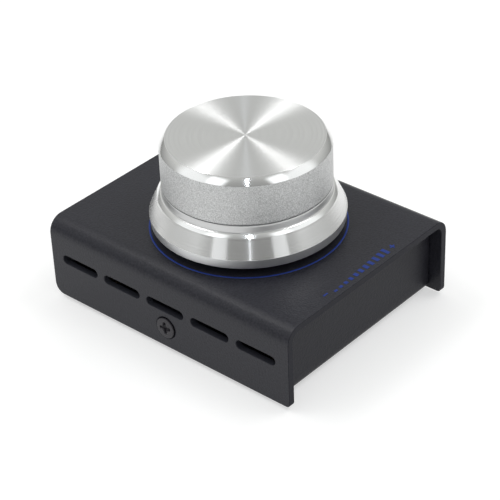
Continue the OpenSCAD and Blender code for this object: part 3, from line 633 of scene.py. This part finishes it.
def knob_mesh():
    """Turns the profile, opens a window at the rear for the grub screw's hole and sinks its wall.

    The gloss map's u is the length along the profile, and v is the angle round the axis.
    """
    profile, finish = knob_profile()
    turns, half, rows = 240, 4, 8
    hole_z = KNOB_Z + GRUB_H

    # extra lines across the grip band bound the window and divide it
    below = np.nonzero((finish[:-1] == GRIP) & (finish[1:] == GRIP) & (profile[:-1, 1] < hole_z)
                       & (profile[1:, 1] > hole_z))[0][0] + 1
    lines = hole_z + np.linspace(-2.6, 2.6, rows + 1)
    profile = np.insert(profile, [below] * (rows + 1), np.column_stack([np.full(rows + 1, GRIP_R), lines]), 0)
    finish = np.insert(finish, [below] * (rows + 1), GRIP)

    # a stretch has the finish of its far end, but the long run up to the roll is the cone's
    stretch = finish[1:].copy()
    stretch[(finish[:-1] == FOOT) & (finish[1:] == ROLL)] = CONE
    length = np.concatenate([[0], np.cumsum(np.linalg.norm(np.diff(profile, axis=0), axis=1))])

    # the rings between the two poles, with the window's cells left out
    rings = len(profile) - 2
    verts = revolved(profile[1:-1], turns, (KNOB_X, KNOB_Y)).reshape(-1, 3)
    uv = np.stack(np.meshgrid(length[1:-1], TAU * np.arange(turns) / turns, indexing="ij"), -1).reshape(-1, 2)
    first_row, first_col = below - 1, turns // 4 - half
    kept = np.ones((rings - 1, turns), bool)
    kept[first_row:first_row + rows, first_col:first_col + 2 * half] = False
    faces = np.array(grid_faces(rings, turns))[kept.ravel()].tolist()
    face_mats = np.repeat(stretch[1:-1], turns)[kept.ravel()].tolist()
    poles = [[KNOB_X, KNOB_Y, profile[0, 1]], [KNOB_X, KNOB_Y, profile[-1, 1]]]
    faces += pole_faces(rings, turns, len(verts), len(verts) + 1)
    face_mats += [INSIDE] * turns + [TOP] * turns
    verts = np.concatenate([verts, poles])

    # the window: from its square edge to the hole's circle on the band, then the wall inwards to its floor
    edge = block_edge(first_col + np.arange(2 * half + 1), first_row + np.arange(rows + 1)) @ [1, turns]
    square = verts[edge][:, [0, 2]] - [KNOB_X, hole_z]
    hole = circle((0, 0), GRUB_R)(2 * half, rows) * [-1, 1]
    last = edge
    for share, widen, sunk in ((0.55, 1.14, 0), (1, 1.14, 0), (1, 1, 0.2), (1, 1, None)):
        x, z = (square + (hole * widen - square) * share).T
        out = np.full(len(x), GRUB_FLOOR) if sunk is None else np.sqrt(GRIP_R ** 2 - x ** 2) - sunk
        ring = len(verts) + np.arange(len(x))
        verts = np.concatenate([verts, np.column_stack([KNOB_X + x, KNOB_Y + out, hole_z + z])])
        faces += band(last, ring).tolist()
        face_mats += [GRIP if sunk == 0 else INSIDE] * len(x)
        last = ring
    faces.append(last[::-1].tolist())
    face_mats.append(INSIDE)
    uv = np.concatenate([uv, [[0, 0], [length[-1], 0]], np.zeros((len(verts) - len(uv) - 2, 2))])
    return verts, faces, face_mats, uv


def make_knob():
    """The finished knob: inside and foot plain, cone and top turned, grip blasted, edges bright."""
    verts, faces, face_mats, uv = knob_mesh()
    obj = put_mesh("knob_body", verts, faces, "knob", ["knob"], KNOB_FINISHES,
                   face_mats=face_mats, uvs=uv)
    shading = obj.modifiers.new("even_shading", "WEIGHTED_NORMAL")
    shading.keep_sharp = True
    shading.weight = 100


# ------------------------------------------------------------------- prints

def make_ring_print():
    """The printed ring: a thin flat band of ink round the knob, a section carried round in 360 steps."""
    middle, half, soft, thick = 24, 0.225, 0.03, 0.05
    section = np.array([(-half, 0.001), (-half, 0.03), (soft - half, thick), (half - soft, thick),
                        (half, 0.03), (half, 0.001), (-half, 0.001)]) + (middle, TOP_Z)
    rows = revolved(section, 360, (KNOB_X, KNOB_Y))
    obj = put_mesh("printed_ring", rows.reshape(-1, 3), grid_faces(len(rows), 360), "case", ["ring_print"],
                   [ink])
    turn_outwards(obj)


# ------------------------------------------------------------------- screws

def screw_surface():
    """A cross-recess countersunk screw along +Z, head's crown at z = 0.

    Rings run from the crown's middle out over the head, down the rim and the cone, and along the thread.
    On the head z is a shallow dome less the recess: four arms that narrow and deepen towards the middle.
    On the thread r rises and falls along the helix: root + height x ridge(z / pitch - angle / turn).
    """
    turns = 96
    angle = TAU * np.arange(turns) / turns
    head_r, shank_r, thread_depth, pitch, tip_z = 2.7, 1.48, 0.28, 0.5, -5.0
    r = np.concatenate([np.linspace(0.04, 2.0, 34), np.linspace(2.08, 2.50, 8)])[:, None]
    x, y = r * np.cos(angle), r * np.sin(angle)
    dome = -0.10 * (r / head_r) ** 2
    arms = 0.0
    for a, b in ((x, y), (y, x)):
        half = 0.64 - 0.16 * np.abs(a)
        flank, end = (half - np.abs(b)) / 0.16 + 0.3, (1.72 - np.abs(a)) / 0.22
        arms = np.maximum(arms, smooth_step(flank) * smooth_step(end))
    centre = smooth_step((0.95 - r) / 0.5)
    recess = np.maximum(arms * (0.45 + 0.45 * np.clip(1.7 - r, 0, 1.7)), centre * 0.75)
    head = np.stack([x, y, dome - recess], -1)
    rim = revolved([(2.58, -0.095), (2.65, -0.12), (2.69, -0.17), (head_r, -0.24), (head_r, -0.50),
                    (1.62, -1.62), (1.5, -1.72)], turns)
    z = np.linspace(-1.80, -4.75, 60)[:, None]
    ridge = np.abs(((z / pitch - angle / TAU) % 1.0) * 2 - 1)
    crest = np.clip(ridge * 1.5, 0, 1) * smooth_step((-1.70 - z) / 0.3)
    radius = shank_r - thread_depth + thread_depth * crest
    radius = np.where(z > -1.95, shank_r - 0.1, radius) * (1 - 0.25 * smooth_step((-4.4 - z) / 0.35))
    thread = np.stack([radius * np.cos(angle), radius * np.sin(angle), np.broadcast_to(z, radius.shape)], -1)
    rows = np.concatenate([head, rim, thread, revolved([(0.8, tip_z)], turns)])
    points = rows.reshape(-1, 3)
    faces = grid_faces(len(rows), turns) + pole_faces(len(rows), turns, len(points), len(points) + 1)
    return np.concatenate([points, [[0, 0, head[0, :, 2].mean()], [0, 0, tip_z]]]), faces


def make_side_screws():
    """The two countersunk screws, one in each flange, their heads a little proud."""
    points, faces = screw_surface()
    turn, proud = math.radians(6), 0.4
    x, y, z = points.T
    up = x * math.cos(turn) - y * math.sin(turn)
    across = x * math.sin(turn) + y * math.cos(turn)
    places = np.concatenate([
        np.column_stack([side * (CASE_W / 2 + proud + z), -side * across, SCREW_Z + up]) for side in (-1, 1)])
    obj = put_mesh("side_screws", places, repeated(faces, points, 2), "case", ["cover_screws"],
                   [black_oxide])
    turn_outwards(obj)
    sharp_at(obj, 50)


# --------------------------------------------------------------------- feet

def make_feet():
    """Four moulded rubber feet: a disc with a rounded edge and a shallow dish in its underside."""
    turns, dish, foot_x, foot_y = 64, 0.14, 23.0, 29.5
    section = [(2.0, dish), (2.3, 0.10), (2.45, 0.02), (2.55, 0.0), (2.72, 0.0), (2.86, 0.05), (2.96, 0.16),
               (3.0, 0.32), (3.0, 1.0), (2.97, 1.14), (2.9, FOOT_H)]
    rows = revolved(section, turns)
    points = np.concatenate([rows.reshape(-1, 3), [[0, 0, dish], [0, 0, FOOT_H]]])
    faces = grid_faces(len(rows), turns) + pole_faces(len(rows), turns, len(points) - 2, len(points) - 1)
    places = np.concatenate([
        points + [side * foot_x, end * foot_y, 0] for side, end in ((-1, -1), (1, -1), (1, 1), (-1, 1))])
    obj = put_mesh("moulded_feet", places, repeated(faces, points, 4), "case", ["rubber_feet"], [rubber])
    turn_outwards(obj)
    sharp_at(obj, 45)


# ---------------------------------------------------------------- snap dome

def make_snap_dome():
    """The switch's snap dome: a thin sprung disc that rises in an S-curve from its rim to a flat middle.

    Height above the rim = full height x s(t), with t = (rim radius - r) / slope width and s(t) = 3t2 - 2t3.
    The underside is the same surface one sheet thickness lower.
    """
    low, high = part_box("snap_dome")
    centre, rim_r = ((low + high) / 2).xy / MM, (high.x - low.x) / 2 / MM
    z0, tall, sheet, rim_t = low.z / MM, (high.z - low.z) / MM, 0.12, 0.05
    turns = 72
    r = np.concatenate([np.linspace(rim_r, rim_r / 2, 14), [rim_r * 0.3, 0.1]])
    upper = z0 + rim_t + (tall - rim_t) * smooth_step((rim_r - r) / (rim_r / 2))
    lower = np.maximum(upper - sheet, z0)
    section = np.concatenate([np.column_stack([r, lower])[::-1], np.column_stack([r, upper])])
    rows = revolved(section, turns, centre)
    faces = grid_faces(len(rows), turns)
    faces += [range(turns)[::-1], range((len(rows) - 1) * turns, len(rows) * turns)]
    obj = put_mesh("sprung_dome", rows.reshape(-1, 3), faces, "case", ["snap_dome"], [plated])
    turn_outwards(obj)
    sharp_at(obj, 60)
    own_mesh(obj)


# -------------------------------------------------------------------- inlet

def inlet_outline(inset):
    """The inlet's outline: wide above, its lower corners cut in, every corner rounded; inset goes inwards."""
    w, h, shoulder, cut = 3.85 - inset, 1.95 - inset, 1.25, 0.75
    half = [(w - cut, -h, 0.35), (w, shoulder - h, 0.5), (w, h, 0.55)]
    corners = half + [(-x, z, r) for x, z, r in half[::-1]]
    return np.concatenate([
        fillet(before[:2], corner[:2], after[:2], max(corner[2] - inset * 0.6, 0.12), 10)
        for before, corner, after in zip(corners[-1:] + corners, corners, corners[1:] + corners[:1])])


def inlet_shell():
    """The folded steel shell: its outline carried along Y, over the rolled lip and back along the inside."""
    inner_end, mouth, sheet = 24.55, 33.75, 0.38
    stations = [(inner_end, 0.0), (mouth - 0.15, 0.0), (mouth - 0.04, 0.06), (mouth, 0.16),
                (mouth - 0.02, 0.28), (mouth - 0.2, sheet), (inner_end + 0.4, sheet)]
    rows = []
    for y, inset in stations:
        x, z = inlet_outline(inset).T
        rows.append(np.column_stack([x, np.full(len(x), y), INLET_Z + z]))
    around = len(rows[0])
    faces = grid_faces(len(rows), around)
    faces += [range(around), range((len(rows) - 1) * around, len(rows) * around)[::-1]]
    shell = put_mesh("inlet_shell", np.concatenate(rows), faces, "case", ["usb_shell"], [plated])
    turn_outwards(shell)
    sharp_at(shell, 40)


def inlet_bars(name, boxes, replaced, material, edge):
    """Square bars with rounded edges, each from its lowest to its highest corner."""
    share = np.array([(0, 0, 0), (1, 0, 0), (1, 1, 0), (0, 1, 0), (0, 0, 1), (1, 0, 1), (1, 1, 1), (0, 1, 1)])
    sides = [(0, 3, 2, 1), (4, 5, 6, 7), (0, 1, 5, 4), (1, 2, 6, 5), (2, 3, 7, 6), (3, 0, 4, 7)]
    places = np.concatenate([low + share * np.subtract(high, low) for low, high in boxes])
    obj = put_mesh(name, places, repeated(sides, share, len(boxes)), "case", replaced, [material])
    turn_outwards(obj)
    round_edges(obj, edge, 2)


def make_inlet():
    """The inlet at the rear: a folded steel shell, a moulded tongue and five contact strips on it."""
    inlet_shell()
    inlet_bars("inlet_tongue", [((-3.2, 24.95, 14.4), (3.2, 26.9, 17.15)),
                                ((-1.925, 26.7, 15.65), (1.925, 32.15, 16.35))],
               ["usb_tongue"], moulding, 0.12)
    pitch, half = 0.7, 0.2
    inlet_bars("inlet_contacts", [((k * pitch - half, 26.8, 15.60), (k * pitch + half, 31.9, 15.72))
                                  for k in range(-2, 3)], [], contact_metal, 0.03)


make_cover()
make_tray()
make_knob()
make_ring_print()
make_side_screws()
make_feet()
make_snap_dome()
make_inlet()

# --------------------------------------------------- finishes of CAD nodes

FINISHES = {
    black_oxide: ["grub_screw"],
    ink: ["scale_print"],
    contact_metal: ["standoffs", "contact_wipers", "encoder_terminals"],
    solder_mask: ["circuit_board"],
    plated: ["board_screws", "crystal", "detent_spring", "encoder_frame", "lock_washer", "encoder_nut",
             "shaft_clip"],
    moulding: ["microcontroller", "chip_resistors", "switch_housing", "encoder_base"],
    pale_moulding: ["switch_plunger", "encoder_rotor"],
    can_metal: ["electrolytic_capacitors", "shaft"],
    ceramic: ["chip_capacitors"],
    die_cast: ["encoder_bushing"],
}
for finish, names in FINISHES.items():
    for name in names:
        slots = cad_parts[name].data.materials
        for k in range(len(slots)):
            slots[k] = finish

# -------------------------------------------------------------- studio

CAMERA_SIDE = math.radians(-137.877)
AIM = Vector((KNOB_X * MM, KNOB_Y * MM, 0.03))
LAMP_DISTANCE = 1.2
COOL = (0.955, 0.978, 1.0)


def toward(side, height):
    """A direction: degrees right of the camera round the object, and degrees above the horizon."""
    a, e = CAMERA_SIDE + math.radians(side), math.radians(height)
    return Vector((math.cos(e) * math.cos(a), math.cos(e) * math.sin(a), math.sin(e)))


def softbox(name, side, height, wide, tall, radiance, feather=0.0, colour=(1, 1, 1)):
    """A lamp panel that faces the knob, its size given as the angles that it spans.

    Its power is radiance x pi x area. Within feather, a share of its width and of its height, its light
    falls off to nothing at its edges. Without feather it is an ellipse with a crisp edge.
    """
    light = bpy.data.lights.new(name, "AREA")
    light.shape = "RECTANGLE" if feather else "ELLIPSE"
    light.size, light.size_y = (2 * LAMP_DISTANCE * math.tan(math.radians(a) / 2) for a in (wide, tall))
    light.energy = radiance * math.pi * light.size * light.size_y * (1 if feather else math.pi / 4)
    light.color = colour
    if feather:
        light.use_nodes = True
        tree = light.node_tree
        spot = node(tree, "ShaderNodeNewGeometry")
        parts = node(tree, "ShaderNodeSeparateXYZ", {"Vector": spot.outputs["Parametric"]})
        fades = []
        for axis in "XY":
            inward = node(tree, "ShaderNodeMath", {0: parts.outputs[axis], 1: 0.5}, operation="PINGPONG")
            fade = node(tree, "ShaderNodeMapRange", {"Value": inward.outputs[0], "From Max": feather},
                        interpolation_type="SMOOTHSTEP")
            fades.append(fade.outputs["Result"])
        both = node(tree, "ShaderNodeMath", {0: fades[0], 1: fades[1]}, operation="MULTIPLY")
        tree.links.new(both.outputs[0], tree.nodes["Emission"].inputs["Strength"])
    lamp = bpy.data.objects.new(name, light)
    bpy.context.scene.collection.objects.link(lamp)
    lamp.location = AIM + toward(side, height) * LAMP_DISTANCE
    lamp.rotation_euler = toward(side, height).to_track_quat("Z", "Y").to_euler()


def make_lamps():
    """Softboxes in pairs right and left of the camera, two above the far side, and a slim one in front."""
    for hand, bright in ((-1, 1.0), (1, 0.95)):
        softbox("strip_low", hand * 34, 15, 19, 24, 0.84 * bright, 0.14, COOL)
        softbox("strip_high", hand * 45, 43, 25, 30, 0.86 * bright, 0.3, COOL)
        softbox("side_panel", hand * 77, 31, 54, 48, 0.46 / bright, 0.3, COOL)
        softbox("side_high", hand * 100, 59, 29, 18, 5.1 * bright, 0.2)
    softbox("upper_left", -145, 56, 20, 14, 1.9, 0.2)
    softbox("upper_right", 145, 56, 20, 14, 0.5, 0.2)
    softbox("front_lamp", 0, 49, 1.2, 21, 27, colour=(0.88, 0.93, 1.0))
    softbox("front_low", 0, 16, 1.6, 12, 2.6, 0.2, (0.94, 0.97, 1.0))


def make_room():
    """The world: pale walls, darker on the camera's side and near the floor.

    Its shade goes by the share of the way from straight away from the camera, 0, to straight at it, 1.
    """
    world = bpy.data.worlds.new("studio")
    bpy.context.scene.world = world
    world.use_nodes = True
    tree = world.node_tree
    background = tree.nodes["Background"]
    way = node(tree, "ShaderNodeTexCoord").outputs["Generated"]
    facing = node(tree, "ShaderNodeVectorMath", {0: way, 1: toward(0, 10)}, operation="DOT_PRODUCT")
    share = node(tree, "ShaderNodeMapRange", {"Value": facing.outputs["Value"], "From Min": -1})
    ramp = node(tree, "ShaderNodeValToRGB", {"Fac": share.outputs["Result"]})
    stops = ramp.color_ramp.elements
    for where, level in ((0.0, 0.72), (0.5, 0.58), (0.80, 0.50), (0.88, 0.36), (0.95, 0.30), (1.0, 0.28)):
        stop = stops[0] if where == 0 else stops[-1] if where == 1 else stops.new(where)
        stop.color = (level * 1.015, level * 1.025, level, 1)
    height = node(tree, "ShaderNodeSeparateXYZ", {"Vector": way})
    rise = node(tree, "ShaderNodeMapRange", {
        "Value": height.outputs["Z"], "From Min": 0.02, "From Max": 0.45, "To Min": 0.42})
    tree.links.new(ramp.outputs["Color"], background.inputs["Color"])
    tree.links.new(rise.outputs["Result"], background.inputs["Strength"])


def make_floor():
    """A sheet of pale paper that takes the object's shadow.

    The camera, polished metal and glass see it brighter, evenly round the object and less farther out.
    """
    size = 3
    mesh = bpy.data.meshes.new("floor")
    mesh.from_pydata([(-size, -size, 0), (size, -size, 0), (size, size, 0), (-size, size, 0)], [], [range(4)])
    floor = bpy.data.objects.new("floor", mesh)
    bpy.context.scene.collection.objects.link(floor)
    paper, tree, surface = new_material("floor_paper", (0.6, 0.6, 0.6), 0.9)
    place = node(tree, "ShaderNodeTexCoord")
    away = node(tree, "ShaderNodeVectorMath", {0: place.outputs["Object"]}, operation="LENGTH")
    falloff = node(tree, "ShaderNodeMapRange", {
        "Value": away.outputs["Value"], "From Min": 0.20, "From Max": 0.75, "To Min": 0.50, "To Max": 0.26},
        interpolation_type="SMOOTHSTEP")
    glow = node(tree, "ShaderNodeEmission", {
        "Color": (1, 1, 1, 1), "Strength": falloff.outputs["Result"]})
    path = node(tree, "ShaderNodeLightPath")
    seen = path.outputs["Is Camera Ray"]
    for ray in ("Is Glossy Ray", "Is Transmission Ray"):
        seen = node(tree, "ShaderNodeMath", {0: seen, 1: path.outputs[ray]}, operation="MAXIMUM").outputs[0]
    shown = node(tree, "ShaderNodeMixShader", {0: seen, 2: glow.outputs[0]})
    both = node(tree, "ShaderNodeAddShader", {0: surface.outputs[0], 1: shown.outputs[0]})
    tree.links.new(both.outputs[0], tree.nodes["Material Output"].inputs["Surface"])
    mesh.materials.append(paper)


def make_camera():
    """The photograph's view: a long lens, turned by an azimuth, an elevation and a slight roll."""
    azimuth, elevation, roll = (math.radians(a) for a in (-47.877, 33.737, -2.367))
    back = Vector((math.sin(azimuth) * math.cos(elevation), -math.cos(azimuth) * math.cos(elevation),
                   math.sin(elevation)))
    level_x = Vector((0, 0, 1)).cross(back).normalized()
    level_y = back.cross(level_x)
    right = math.cos(roll) * level_x + math.sin(roll) * level_y
    up = math.cos(roll) * level_y - math.sin(roll) * level_x
    lens = bpy.data.cameras.new("view")
    lens.lens = 128.73
    lens.sensor_width = 36
    lens.sensor_fit = "HORIZONTAL"
    lens.clip_start = 0.01
    camera = bpy.data.objects.new("view", lens)
    bpy.context.scene.collection.objects.link(camera)
    turn = Matrix((right, up, back)).transposed().to_4x4()
    turn.translation = Vector((-0.27054, -0.24541, 0.25706))
    camera.matrix_world = turn
    bpy.context.scene.camera = camera


make_lamps()
make_room()
make_floor()
make_camera()
bpy.context.scene.view_settings.view_transform = "Standard"
